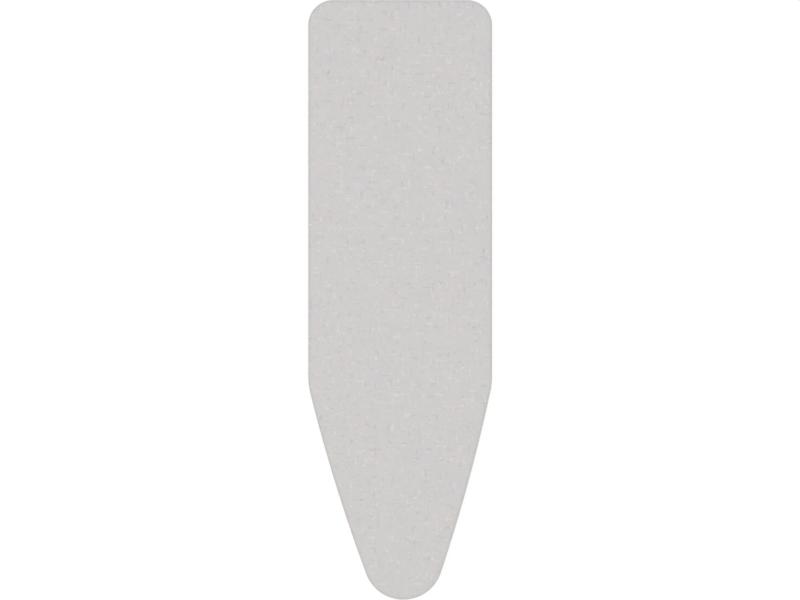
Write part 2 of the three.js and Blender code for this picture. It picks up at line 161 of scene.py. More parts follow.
camera_data = bpy.data.cameras.new("camera")
configure(camera_data, lens=CAMERA_LENS, sensor_width=CAMERA_SENSOR)
camera = add_object("camera", camera_data)
camera_distance = IMAGE_WIDTH * PHOTO_SCALE * CAMERA_LENS / CAMERA_SENSOR
camera.location = Vector((*PHOTO_CENTRE, camera_distance + OUTLINE_HEIGHT)) * MM
scene.camera = camera


# Points and directions
UP = (0, 0, 1)


def smooth(x):
    x = np.clip(x, 0, 1)
    return x * x * (3 - 2 * x)


def late(share, start):
    """Rises smoothly from 0 at start to 1 at the end."""
    return smooth((share - start) / (1 - start))


def circle(angle):
    """Points on a circle of radius 1."""
    return np.stack([np.cos(angle), np.sin(angle)], -1)


def round_angles(sides):
    return np.linspace(0, 2 * pi, sides, endpoint=False)


def unit(vectors):
    return vectors / np.linalg.norm(vectors, axis=-1, keepdims=True)


def left_of(heading):
    """Flat directions turned a quarter to the left."""
    return np.stack([-heading[..., 1], heading[..., 0]], -1)


def directions(path):
    return unit(np.gradient(path, axis=0))


def raised(points, height):
    """Flat points at one height, or at a height each."""
    return np.column_stack([points, np.broadcast_to(height, len(points))])


def running_length(points):
    steps = np.linalg.norm(np.diff(points, axis=0), axis=1)
    return np.concatenate([[0], np.cumsum(steps)])


def distance_to(boundary, points, parts=20):
    """Each point's distance to a boundary, worked out in parts to save memory."""
    split = np.array_split(points, parts)
    return np.concatenate([np.linalg.norm(part[:, None] - boundary, axis=2).min(1) for part in split])


def wander(x, count, seed):
    """Smooth seeded values from -1 to 1, one for each whole x, that repeat after count."""
    values = np.random.default_rng(seed).uniform(-1, 1, count)
    whole = np.floor(x).astype(int)
    share = smooth(x - whole)
    return values[whole % count] * (1 - share) + values[(whole + 1) % count] * share


# Outlines
def line(start, end, outward):
    start, end = np.array(start, float), np.array(end, float)

    def stretch(share):
        return start + (end - start) * share[:, None], np.tile(outward, (len(share), 1))

    return stretch


def arc(centre, radius, begin, end):
    def stretch(share):
        outward = circle(begin + (end - begin) * share)
        return centre + outward * radius, outward

    return stretch


def backwards(stretch):
    return lambda share: stretch(1 - share)


def direction_of(vector):
    return math.atan2(vector[1], vector[0]) % (2 * pi)


def bow_centre(shoulder, nose, side):
    """Centre of the taper's arc, which touches the shoulder's circle and the nose's."""
    distance = np.linalg.norm(nose - shoulder)
    from_shoulder = TAPER_BOW_RADIUS - SHOULDER_RADIUS
    from_nose = TAPER_BOW_RADIUS - NOSE_RADIUS
    along = (from_shoulder**2 - from_nose**2 + distance**2) / (2 * distance)
    across = math.sqrt(from_shoulder**2 - along**2)
    heading = unit(nose - shoulder)
    return shoulder + heading * along - left_of(heading) * side * across


def outline(inset, corner_radius):
    """The cover's outline or a line parallel to it, as stretches that each run from 0 to 1.

    It runs anticlockwise from the left end of the binding's mouth, and its last stretch is the mouth.
    """
    side_x = COVER_WIDTH / 2 - inset
    heel_y = COVER_LENGTH / 2 - inset
    corner_x, corner_y = side_x - corner_radius, heel_y - corner_radius
    taper_y = COVER_LENGTH / 2 - STRAIGHT_SIDE
    nose = np.array([NOSE_OFFSET, NOSE_RADIUS - COVER_LENGTH / 2])
    mouth = BINDING_MOUTH / 2
    halves = []
    for side, flank, shoulder_start in ((-1, pi, pi), (1, 0, 2 * pi)):
        shoulder = np.array([side * (COVER_WIDTH / 2 - SHOULDER_RADIUS), taper_y])
        bow = bow_centre(shoulder, nose, side)
        shoulder_end, nose_start = direction_of(shoulder - bow), direction_of(nose - bow)
        halves.append([
            line((side * mouth, heel_y), (side * corner_x, heel_y), (0, 1)),
            arc((side * corner_x, corner_y), corner_radius, pi / 2, flank),
            line((side * side_x, corner_y), (side * side_x, taper_y), (side, 0)),
            arc(shoulder, SHOULDER_RADIUS - inset, shoulder_start, shoulder_end),
            arc(bow, TAPER_BOW_RADIUS - inset, shoulder_end, nose_start),
            arc(nose, NOSE_RADIUS - inset, nose_start, 1.5 * pi),
        ])
    left, right = halves
    across_mouth = line((mouth, heel_y), (-mouth, heel_y), (0, 1))
    return [*left, *(backwards(stretch) for stretch in right[::-1]), across_mouth]


def at(stretches, places):
    """Points and outward directions at rising places, each a stretch's number plus its share."""
    which = np.minimum(places.astype(int), len(stretches) - 1)
    parts = [stretch(places[which == number] - number) for number, stretch in enumerate(stretches)]
    return tuple(map(np.concatenate, zip(*parts)))


edge = outline(0, HEEL_CORNER_RADIUS)
hem = outline(HEM_INSET, HEM_CORNER_RADIUS)
MOUTH_STRETCH = len(hem) - 1
GATHERED_STRETCHES = (1, 5, 6, 10)
SAMPLES_PER_STRETCH = 200


def pleat_stations():
    """Stations round the hem, evenly spaced within each pleat, and how gathered the hem is there."""
    stretches = len(hem)
    places = np.linspace(0, stretches, stretches * SAMPLES_PER_STRETCH + 1)
    lengths = running_length(at(hem, places)[0])
    gathered = np.isin(np.minimum(places.astype(int), stretches - 1), GATHERED_STRETCHES)
    away = np.abs(lengths[:, None] - lengths[gathered]).min(1)
    gather = smooth(1 - away / GATHER_FADE)
    pleat = FREE_PLEAT * (GATHERED_PLEAT / FREE_PLEAT) ** gather
    turns = np.concatenate([[0], np.cumsum(np.diff(lengths) / ((pleat[1:] + pleat[:-1]) / 2))])
    pleats = round(turns[-1])
    turns *= pleats / turns[-1]
    at_turns = np.arange(pleats * STATIONS_PER_PLEAT) / STATIONS_PER_PLEAT
    return np.interp(at_turns, turns, places), at_turns, np.interp(at_turns, turns, gather), pleats


places, turns, gather, PLEATS = pleat_stations()
edge_points, edge_outwards = at(edge, places)
hem_points, hem_outwards = at(hem, places)


# Meshes
MERGE_DISTANCE = 1e-6


def quads(rows, columns):
    """Faces between rows of points that each close on themselves."""
    row, column = np.meshgrid(np.arange(rows - 1), np.arange(columns), indexing="ij")
    beside = (column + 1) % columns
    corners = ((row, column), (row + 1, column), (row + 1, beside), (row, beside))
    return np.stack([r * columns + c for r, c in corners], -1).reshape(-1, 4)


def closed_tube_faces(rings, sides):
    ends = [range(sides)[::-1], range((rings - 1) * sides, rings * sides)]
    return [*quads(rings, sides), *ends]


def make_object(name, points, faces):
    mesh = bpy.data.meshes.new(name)
    points = np.reshape(points, (-1, 3)) * MM
    mesh.from_pydata(points.tolist(), [], [list(map(int, face)) for face in faces])
    return add_object(name, mesh)


def make_piece(name, points, faces, materials, body="cover", closed=True, **attributes):
    """A piece on a body, turned outwards if it is closed, with attributes that its materials read."""
    piece = make_object(name, points, faces)
    mesh = piece.data
    mesh.shade_smooth()
    for key, values in attributes.items():
        layer = mesh.attributes.new(key, "FLOAT_VECTOR", "POINT")
        layer.data.foreach_set("vector", np.asarray(values, np.float32).ravel())
    for material in materials:
        mesh.materials.append(material)
    mesh.update()
    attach(piece, body)
    if closed:
        turned = bmesh.new()
        turned.from_mesh(mesh)
        bmesh.ops.recalc_face_normals(turned, faces=turned.faces)
        turned.to_mesh(mesh)
        turned.free()
    return piece


def make_tube(name, rings, material, body="cover", **attributes):
    return make_piece(name, rings, closed_tube_faces(*rings.shape[:2]), [material], body, **attributes)


def sweep(path, sideways, up, out, rise):
    """A ring of points at each station of a path, out and rise away along two directions."""
    sideways, up = (np.broadcast_to(way, path.shape)[:, None] for way in (sideways, up))
    return path[:, None] + out[..., None] * sideways + rise[..., None] * up


def along_and_round(along, girth):
    """How far along and round a swept piece each point of its rings is."""
    return np.stack(np.broadcast_arrays(along[:, None], girth, 0.0), -1)


def fill(boundary, spacing):
    """Points spread inside a boundary, and triangles that count its own points first."""
    low, high = boundary.min(0), boundary.max(0)
    rows = np.arange(low[1], high[1], spacing * math.sqrt(3) / 2)
    starts = low[0] + np.arange(len(rows)) % 2 * spacing / 2
    grid = np.array([(x, y) for start, y in zip(starts, rows) for x in np.arange(start, high[0], spacing)])
    x, y = grid.T
    inside = np.zeros(len(grid), bool)
    for (ax, ay), (bx, by) in zip(boundary, np.roll(boundary, -1, axis=0)):
        if ay != by:
            inside ^= ((y < ay) != (y < by)) & (x < ax + (y - ay) * (bx - ax) / (by - ay))
    grid = grid[inside]
    grid = grid[distance_to(boundary, grid) > spacing / 2]
    points = np.concatenate([boundary, grid])
    count = len(boundary)
    edges = [(i, (i + 1) % count) for i in range(count)]
    made = delaunay_2d_cdt(list(map(Vector, points)), edges, [], 1, MERGE_DISTANCE)
    source = [origin[0] for origin in made[3]]
    return grid, np.array([[source[v] for v in face] for face in made[2]])


def attached(faces, count, rim, inner):
    """Filled faces whose boundary's count points start at rim, and the ones inside at inner."""
    return np.where(faces < count, faces + rim, faces - count + inner)


# Materials
def socket_names(values):
    return {key.replace("_", " ").title(): value for key, value in values.items()}


class Nodes:
    """The nodes of a material or of the world."""

    def __init__(self, name, kind="materials"):
        self.owner = getattr(bpy.data, kind).new(name)
        self.owner.use_nodes = True
        self.tree = self.owner.node_tree
        self.tree.nodes.clear()

    def outputs(self, kind, inputs=None, **settings):
        """Adds a node and returns its outputs."""
        made = self.tree.nodes.new("ShaderNode" + kind)
        configure(made, **settings)
        for key, value in (inputs or {}).items():
            if isinstance(value, bpy.types.NodeSocket):
                self.tree.links.new(value, made.inputs[key])
            else:
                made.inputs[key].default_value = value
        return made.outputs

    def node(self, kind, inputs=None, output=0, **settings):
        return self.outputs(kind, inputs, **settings)[output]

    def math(self, operation, a, b=0.0):
        return self.node("Math", {0: a, 1: b}, operation=operation)

    def total(self, start, *terms):
        """A number plus values that each come with their weight."""
        for value, weight in terms:
            start = self.math("ADD", start, self.math("MULTIPLY", value, weight))
        return start

    def wave(self, value, pitch):
        return self.math("SINE", self.math("MULTIPLY", value, 2 * pi / pitch))

    def attribute(self, name):
        return self.node("Attribute", output="Vector", attribute_name=name)

    def object_mm(self):
        """Where a point is on its own piece, in millimetres."""
        return self.scaled(self.node("TexCoord", output="Object"), (1 / MM,) * 3)

    def split(self, vector):
        return self.outputs("SeparateXYZ", {0: vector})

    def scaled(self, vector, factors, offset=(0, 0, 0)):
        return self.node("Mapping", {"Vector": vector, "Scale": factors, "Location": offset})

    def turned(self, vector, angle, factors, offset):
        """A place turned about Z, then scaled and moved."""
        inputs = {"Vector": vector, "Angle": angle}
        return self.scaled(self.node("VectorRotate", inputs, rotation_type="Z_AXIS"), factors, offset)

    def noise(self, vector, size=1.0, **sockets):
        """Noise from 0 to 1 whose lumps are about size across."""
        return self.node("TexNoise", {"Vector": vector, "Scale": 1 / size, **socket_names(sockets)})

    def remap(self, value, low, high, to_low=0.0, to_high=1.0):
        """Rises smoothly from to_low to to_high as the value goes from low to high."""
        inputs = {"Value": value, "From Min": low, "From Max": high, "To Min": to_low, "To Max": to_high}
        return self.node("MapRange", inputs, interpolation_type="SMOOTHSTEP")

    def mix(self, share, a, b):
        return self.node("Mix", {0: share, 6: a, 7: b}, output=2, data_type="RGBA")

    def tinted(self, colour, brightness):
        """A colour times a brightness that varies."""
        return self.node("VectorMath", {0: colour, 3: brightness}, operation="SCALE")

    def finish(self, base, roughness, height, depth, **sockets):
        """The material, with a relief of that height and depth."""
        normal = self.node("Bump", {"Height": height, "Distance": depth * MM, "Strength": 1.0})
        inputs = {"Base Color": base, "Roughness": roughness, "Normal": normal, **socket_names(sockets)}
        self.outputs("OutputMaterial", {"Surface": self.node("BsdfPrincipled", inputs)})
        return self.owner


YARN_PITCH = 0.5
FRAY_LENGTH = 3.0
FRAY_WIDTH = 0.5
COVERED_SHARE = 0.35


def weave(nodes, cut):
    """Height of a plain weave, and where its yarns along Y are on top."""
    across, along, _ = nodes.split(nodes.scaled(cut, (pi / YARN_PITCH,) * 3))
    lumps = nodes.math("MULTIPLY", nodes.math("SINE", across), nodes.math("SINE", along))
    height = nodes.total(nodes.math("ABSOLUTE", lumps), (lumps, 0.3))
    return height, nodes.remap(lumps, -0.35, 0.35)


def slubs(nodes, cut, upper, length, width, seed, low, high, fray=0.0):
    """Short thick stretches of yarn along X and along Y, from 0 to 1, with frayed ends and sides.

    They show where a noise passes from low to high. upper is where the yarns along Y are on top,
    which dims the others there.
    """
    masks = []
    lower = nodes.math("SUBTRACT", 1.0, upper)
    for order, offset, on_top in (
        (1, (seed, 3.1 * seed, seed), lower),
        (-1, (2.7 * seed, seed, seed + 9), upper),
    ):
        factors = (*(1 / length, 1 / width)[::order], 1)
        fine = (*(1 / FRAY_LENGTH, 1 / FRAY_WIDTH)[::order], 1)
        value = nodes.noise(nodes.scaled(cut, factors, offset), detail=1.0, roughness=0.4)
        if fray:
            yarns = nodes.noise(nodes.scaled(cut, fine, offset), detail=1.0)
            value = nodes.total(value, (yarns, fray))
        mask = nodes.remap(value, low + fray / 2, high + fray / 2)
        shown = nodes.total(COVERED_SHARE, (on_top, 1 - COVERED_SHARE))
        masks.append(nodes.math("MULTIPLY", mask, shown))
    return nodes.math("MAXIMUM", *masks)


LIGHT_SLUBS = dict(length=23.0, width=7.0, seed=4.0, low=0.65, high=0.74, fray=0.25)
DARK_SLUBS = {**LIGHT_SLUBS, "seed": 17.0}
THICK_YARNS = dict(length=9.0, width=1.1, seed=29.0, low=0.42, high=0.72)
# Glints: sparse bright specks painted into the cloth's colour, painted highlights of its metallised face.
GLINTS = dict(length=9.0, width=6.0, seed=7.0, low=0.70, high=0.82, fray=0.35)
FLECKS = dict(length=15.0, width=8.0, seed=43.0, low=0.67, high=0.79, fray=0.35)
BACK_SLUBS = dict(length=12.0, width=0.8, seed=31.0, low=0.58, high=0.72)
CLOTH_COLOUR = (0.63, 0.614, 0.604)
WARM_TINT = (1.008, 0.9965, 0.997)
COOL_TINT = (0.995, 0.996, 1.012)
GREEN_TINT = (0.991, 1.009, 0.998)
ROSY_SHIFT = (90, 40, 5)
GREEN_SHIFT = (20, 70, 9)


def metallised_cloth():
    """Cotton with a metallised face: a fine weave with painted shade between its yarns, slubs of both yarns,
    painted glints and faint blotches of tint.
    """
    nodes = Nodes("metallised_cloth")
    plane = nodes.scaled(nodes.attribute("cut"), (1, 1, 0))
    relief, upper = weave(nodes, plane)
    light, dark, thick, glint, fleck = (
        slubs(nodes, plane, upper, **kind) for kind in (LIGHT_SLUBS, DARK_SLUBS, THICK_YARNS, GLINTS, FLECKS)
    )
    uneven = nodes.noise(plane, size=6.0)
    blotch = nodes.noise(plane, size=60.0)
    # The weave's relief also goes into the brightness: painted shade in the hollows between yarns and painted
    # light on their tops.
    brightness = nodes.total(0.882, (relief, 0.09), (light, 0.15), (dark, -0.136), (thick, 0.05))
    brightness = nodes.total(brightness, (glint, 0.36), (fleck, -0.17), (uneven, 0.045), (blotch, 0.05))
    warm, cool, green = ((*np.multiply(CLOTH_COLOUR, tint), 1) for tint in (WARM_TINT, COOL_TINT, GREEN_TINT))
    rosy = nodes.noise(nodes.scaled(plane, (1, 1, 1), ROSY_SHIFT), size=44.0, detail=1.0)
    leafy = nodes.noise(nodes.scaled(plane, (1, 1, 1), GREEN_SHIFT), size=34.0, detail=1.0)
    colour = nodes.mix(nodes.remap(rosy, 0.4, 0.6), warm, cool)
    colour = nodes.mix(nodes.remap(leafy, 0.45, 0.65), colour, green)
    height = nodes.total(relief, (light, 1.2))
    roughness = nodes.remap(uneven, 0.3, 0.7, 0.46, 0.6)
    base = nodes.tinted(colour, brightness)
    return nodes.finish(base, roughness, height, depth=0.03, metallic=0.15, sheen_weight=0.1)


def cotton_back():
    """The cotton side of the metallised cloth."""
    nodes = Nodes("cotton_back")
    plane = nodes.scaled(nodes.attribute("cut"), (1, 1, 0))
    relief, upper = weave(nodes, plane)
    slub = slubs(nodes, plane, upper, **BACK_SLUBS)
    fuzz = nodes.noise(plane, size=1.2, detail=4.0, roughness=0.7)
    base = nodes.tinted((0.71, 0.69, 0.64), nodes.total(0.9, (fuzz, 0.2), (slub, 0.06)))
    return nodes.finish(base, 0.92, nodes.math("ADD", relief, fuzz), depth=0.06, sheen_weight=0.25)


def binding_tape():
    """Twill tape: its diagonal ribs follow the run of the hem."""
    nodes = Nodes("binding_tape")
    run = nodes.attribute("run")
    along, across, _ = nodes.split(run)
    rib = nodes.wave(nodes.math("ADD", along, across), pitch=0.9)
    yarn = nodes.wave(along, pitch=0.45)
    fuzz = nodes.noise(run, size=1.5, detail=4.0, roughness=0.65)
    worn = nodes.noise(run, size=45.0)
    base = nodes.tinted((0.575, 0.57, 0.565), nodes.total(0.87, (fuzz, 0.16), (rib, 0.035), (worn, 0.1)))
    height = nodes.total(0.0, (rib, 0.5), (yarn, 0.25), (fuzz, 0.5))
    return nodes.finish(base, 0.88, height, depth=0.08, sheen_weight=0.2)


FIBRE_TURNS = (0.3, 1.1, 1.9, 2.6)
BLUE_FIBRE = (0.20, 0.25, 0.36, 1)
RED_FIBRE = (0.42, 0.22, 0.19, 1)
DARK_FIBRE = (0.16, 0.155, 0.15, 1)


def felt():
    """Needled felt of mixed waste fibres."""
    nodes = Nodes("felt")
    place = nodes.object_mm()
    mat = None
    for turn in FIBRE_TURNS:
        along = nodes.turned(place, turn, (0.16, 1.7, 1), (turn * 31.0, turn * 17.0, 0))
        fibres = nodes.noise(along, roughness=0.6, distortion=0.9)
        mat = fibres if mat is None else nodes.math("MAXIMUM", mat, fibres)
    clumps = nodes.noise(place, size=9.0, detail=4.0, roughness=0.6)
    needles = nodes.noise(place, size=1.8, detail=1.0)
    colour = nodes.mix(nodes.remap(clumps, 0.35, 0.65), (0.675, 0.66, 0.62, 1), (0.70, 0.69, 0.66, 1))
    for turn, seed, tint in ((0.7, 3.0, BLUE_FIBRE), (2.2, 11.0, RED_FIBRE), (1.5, 23.0, DARK_FIBRE)):
        along = nodes.turned(place, turn, (0.22, 1.1, 1), (seed * 7, seed * 3, seed))
        tuft = nodes.remap(nodes.noise(along, roughness=0.6, distortion=1.6), 0.70, 0.80)
        colour = nodes.mix(nodes.math("MULTIPLY", tuft, 0.45), colour, tint)
    base = nodes.tinted(colour, nodes.total(0.62, (mat, 0.42), (clumps, 0.16)))
    height = nodes.total(mat, (needles, 0.6), (clumps, 0.8))
    return nodes.finish(base, 1.0, height, depth=0.5, sheen_weight=0.3)


def foam():
    """Open-celled foam."""
    nodes = Nodes("foam")
    place = nodes.object_mm()
    cells = nodes.node("TexVoronoi", {"Vector": place, "Scale": 1 / 0.7})
    tone = nodes.noise(place, size=40.0)
    base = nodes.tinted((0.82, 0.79, 0.70), nodes.total(0.85, (cells, 0.2), (tone, 0.08)))
    return nodes.finish(base, 0.95, cells, depth=0.25)


def yarn_material(name, colour, pitch, roughness, sheen):
    """Twisted or knitted yarn along the first value of its run."""
    nodes = Nodes(name)
    run = nodes.attribute("run")
    along, across, _ = nodes.split(run)
    twist = nodes.wave(nodes.total(along, (across, 0.7)), pitch)
    fuzz = nodes.noise(run, size=0.6, detail=4.0, roughness=0.7)
    soil = nodes.noise(run, size=30.0)
    base = nodes.tinted(colour, nodes.total(0.86, (fuzz, 0.14), (twist, 0.04), (soil, 0.08)))
    return nodes.finish(base, roughness, nodes.total(fuzz, (twist, 0.5)), depth=0.06, sheen_weight=sheen)


def moulded_plastic(name, colour, roughness, speckle):
    """Moulded plastic: a fine spark texture, faint flow marks and handling marks in its gloss."""
    nodes = Nodes(name)
    place = nodes.object_mm()
    grain = nodes.noise(place, size=0.18)
    drawn = nodes.scaled(place, (1, 0.2, 1))
    flow = nodes.noise(drawn, size=6.0, detail=3.0, roughness=0.6, distortion=0.6)
    base = nodes.tinted(colour, nodes.total(1 - speckle, (flow, 2 * speckle)))
    handled = nodes.noise(place, size=3.0, detail=4.0, roughness=0.65)
    rubbed = nodes.remap(handled, 0.35, 0.7, roughness, roughness + 0.14)
    return nodes.finish(base, rubbed, nodes.total(flow, (grain, 0.6)), depth=0.02)


def spring_steel():
    """Bright wire with the faint lines of its drawing."""
    nodes = Nodes("spring_steel")
    drawn = nodes.noise(nodes.scaled(nodes.object_mm(), (6, 1, 1)), size=0.5, detail=3.0)
    base = nodes.tinted((0.60, 0.60, 0.61), nodes.remap(drawn, 0.3, 0.7, 0.88, 1.05))
    return nodes.finish(base, nodes.remap(drawn, 0.3, 0.7, 0.22, 0.36), drawn, depth=0.004, metallic=1.0)


METALLISED_CLOTH = metallised_cloth()
COTTON_BACK = cotton_back()
BINDING_TAPE = binding_tape()
FELT = felt()
FOAM = foam()
CORD = yarn_material("cord", (0.80, 0.80, 0.785), pitch=0.8, roughness=0.8, sheen=0.3)
WEBBING = yarn_material("elastic_webbing", (0.81, 0.80, 0.775), pitch=1.1, roughness=0.85, sheen=0.3)
THREAD = yarn_material("sewing_thread", (0.74, 0.735, 0.72), pitch=0.35, roughness=0.6, sheen=0.2)
LOCK_PLASTIC = moulded_plastic("lock_plastic", (0.072, 0.074, 0.078), roughness=0.42, speckle=0.1)
BUTTON_PLASTIC = moulded_plastic("button_plastic", (0.05, 0.052, 0.055), roughness=0.38, speckle=0.1)
HOOK_PLASTIC = moulded_plastic("hook_plastic", (0.74, 0.74, 0.735), roughness=0.34, speckle=0.02)
SPRING_STEEL = spring_steel()


# The drawcord: both tails run from the cord end through the lock, and the rest lies in the hem
BRAID_PITCH = 9.0
BRAID_STRANDS = 4
BRAID_RELIEF = 0.16
CORD_SIDES = 24
CORD_RING_STEP = 0.5
CORD_BEND_STEPS = 25
CORD_LEAD_STEPS = 5
HIDDEN_RING_STEP = 6.0
HIDDEN_SAMPLES = 4000
CORD_GRIP_DEPTH = 10.0


def cord_tail(side):
    """One tail's route, from its end in the cord end to the tape's mouth."""
    bend_y = HEM_LINE_Y - CORD_BEND_RADIUS
    tail_y = CORD_END_Y - CORD_GRIP_DEPTH + SEAT_GAP
    x = side * CORD_SPACING
    tail = np.linspace((x, tail_y), (x, bend_y), int((bend_y - tail_y) / CORD_RING_STEP))
    swing = circle(np.linspace(0, pi / 2, CORD_BEND_STEPS + 1)[1:]) * (-side, 1)
    bent = (x + side * CORD_BEND_RADIUS, bend_y) + swing * CORD_BEND_RADIUS
    mouth = (side * BINDING_MOUTH / 2, HEM_LINE_Y)
    return np.concatenate([tail, bent, np.linspace(bent[-1], mouth, CORD_LEAD_STEPS + 1)[1:-1]])


def drawcord():
    left, right = cord_tail(-1), cord_tail(1)
    hidden, _ = at(hem, np.linspace(0, MOUTH_STRETCH, HIDDEN_SAMPLES))
    lengths = running_length(hidden)
    wanted = np.linspace(0, lengths[-1], int(lengths[-1] / HIDDEN_RING_STEP))
    hidden = np.stack([np.interp(wanted, lengths, hidden[:, i]) for i in (0, 1)], 1)
    path = np.concatenate([left, hidden, right[::-1]])
    run = running_length(path)
    outward = raised(-left_of(directions(path)), 0)
    angle = round_angles(CORD_SIDES)
    turn = 2 * pi * run[:, None] / BRAID_PITCH
    strands = np.maximum(np.cos(BRAID_STRANDS * (angle + turn)), np.cos(BRAID_STRANDS * (angle - turn)))
    exposed = np.minimum(run, run[-1] - run) < running_length(left)[-1]
    radius = CORD_RADIUS - BRAID_RELIEF * np.where(exposed[:, None], (1 - strands) / 2, 0.5)
    rings = sweep(raised(path, CORD_HEIGHT), outward, UP, radius * np.cos(angle), radius * np.sin(angle))
    piece = make_tube("cord", rings, CORD, run=along_and_round(run, angle * CORD_RADIUS))
    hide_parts("drawcord")


drawcord()


# The cover's cloth: top panel, rolled edge, wall, and the skirt that is gathered to the hem
TOP_SPACING = 13.0
TOP_WAVE_HEIGHT = 0.25
TOP_WAVES = ((150, 0.4, 0.3), (95, 1.9, 1.7), (61, 2.6, 4.1), (210, 1.2, 2.2))
EDGE_FADE = 30.0
ROLL_ROWS = 6
WALL_ROWS = 4
FOLD_ROWS = 5
SKIRT_ROWS = 12
SLOT_ROWS = 2
WALL_CREASE = 0.3
PLEAT_BIAS = 0.35
PLEAT_RISE_SHARE = 0.55
PLEAT_FADE_SHARE = 0.78
PUCKER_START_SHARE = 0.6
SLOT_PUCKER = 0.25
SKIRT_EXCESS = 0.05
SKIRT_REACH = 2.0
FREE_REACH_SHARE = 0.3
SETTLING_FRAMES = 16
HELD_ROWS = ((0, 1.0), (1, 0.9), (2, 0.7), (3, 0.5), (4, 0.3), (5, 0.15), (-2, 0.4), (-1, 1.0))
CLOTH_SETTINGS = dict(
    quality=6,
    mass=0.15,
    air_damping=2,
    tension_stiffness=20,
    compression_stiffness=20,
    shear_stiffness=8,
    bending_stiffness=0.3,
    shrink_min=-SKIRT_EXCESS,
)
LEAST_MOVE = 1e-9

# Lengths in the cloth's section, from the top's rim outwards, and the fold's height
ROLL_LENGTH = ROLL_RADIUS * pi / 2
FOLD_TOP = FOLD_HEIGHT + FOLD_RADIUS
WALL_HEIGHT = OUTLINE_HEIGHT - FOLD_TOP
SKIRT_START = ROLL_LENGTH + WALL_HEIGHT + FOLD_RADIUS * pi / 2
SKIRT_END_OUT = FLAP_REACH + SEAT_GAP


def edge_inset(inset):
    """The outline's stations moved inwards."""
    return edge_points - edge_outwards * np.reshape(inset, (-1, 1))


rim = edge_inset(ROLL_RADIUS)
skirt_top = edge_inset(FOLD_RADIUS)
skirt_end = hem_points + hem_outwards * SKIRT_END_OUT
skirt_length = np.linalg.norm(skirt_end - skirt_top, axis=1)
hollow = (1 - np.cos(2 * pi * turns)) / 2 * gather * WALL_CREASE


def in_cut(distance):
    """Where the stations lie in the flat cut, at a distance out from the top's rim."""
    return raised(rim + edge_outwards * np.reshape(distance, (-1, 1)), distance)


def pleat_wander(waves):
    """Unevenness from pleat to pleat, as waves that each have an amount, a length in pleats and a seed."""
    return sum(amount * wander(turns / pleats, PLEATS // pleats, seed) for amount, pleats, seed in waves)


def hem_pucker(place_turns, place_gather, out):
    """How far the bound hem dips at a distance outwards from the cord."""
    share = np.clip((out - BEAD_RADIUS) / (FLAP_REACH - BEAD_RADIUS), 0, 1)
    return SLOT_PUCKER * place_gather * share * np.cos(2 * pi * place_turns)


def top_waves(points):
    """Low waves of a stretched surface, each with its length, heading and shift."""
    phases = (2 * pi * points @ circle(heading) / length + shift for length, heading, shift in TOP_WAVES)
    return sum(map(np.sin, phases)) * TOP_WAVE_HEIGHT / 2


def shares(count):
    """Shares of the way to each of count rows, without the start."""
    return np.linspace(0, 1, count + 1)[1:]


def edge_rows():
    """The rolled edge, the wall and the fold below it, as points and distances in the cut."""
    for angle in np.linspace(0, pi / 2, ROLL_ROWS + 1):
        inset = ROLL_RADIUS * (1 - math.sin(angle))
        yield raised(edge_inset(inset), OUTLINE_HEIGHT + ROLL_RADIUS * math.cos(angle)), ROLL_RADIUS * angle
    for share in shares(WALL_ROWS):
        drop = WALL_HEIGHT * share
        yield raised(edge_inset(hollow * smooth(share)), OUTLINE_HEIGHT - drop), ROLL_LENGTH + drop
    for angle in shares(FOLD_ROWS) * pi / 2:
        radius = FOLD_RADIUS - hollow
        points = edge_inset(FOLD_RADIUS - radius * math.cos(angle))
        distance = ROLL_LENGTH + WALL_HEIGHT + FOLD_RADIUS * angle
        yield raised(points, FOLD_TOP - radius * math.sin(angle)), distance


def skirt_rows():
    """The skirt from the fold to the tape: rounded pleats with narrow valleys between them."""
    lean = pleat_wander(LEAN_WAVES)
    depth = FREE_PLEAT_DEPTH + (GATHERED_PLEAT_DEPTH - FREE_PLEAT_DEPTH) * gather
    depth *= 1 + pleat_wander(DEPTH_WAVES)
    reach = PLEAT_RISE_SHARE + pleat_wander(RISE_WAVES)
    for share in shares(SKIRT_ROWS):
        rise = smooth(share / reach) * (1 - late(share, PLEAT_FADE_SHARE))
        phase = turns + lean * share * (1 - share) * 2
        drop = depth * rise * (2 * np.abs(np.cos(pi * phase)) - 1 + PLEAT_BIAS)
        drop -= hollow * (1 - smooth(share * 2))
        drop += hem_pucker(turns, gather, FLAP_REACH) * late(share, PUCKER_START_SHARE)
        height = FOLD_HEIGHT + (SLOT_HEIGHT - FOLD_HEIGHT) * share - drop
        points = skirt_top + (skirt_end - skirt_top) * share
        yield raised(points, height), SKIRT_START + skirt_length * share


def slot_rows():
    """The skirt's end in the tape's slot."""
    for share in shares(SLOT_ROWS):
        out = SKIRT_END_OUT - (FLAP_REACH - BEAD_RADIUS) * share
        height = SLOT_HEIGHT - hem_pucker(turns, gather, out)
        distance = SKIRT_START + skirt_length + SKIRT_END_OUT - out
        yield raised(hem_points + hem_outwards * out, height), distance


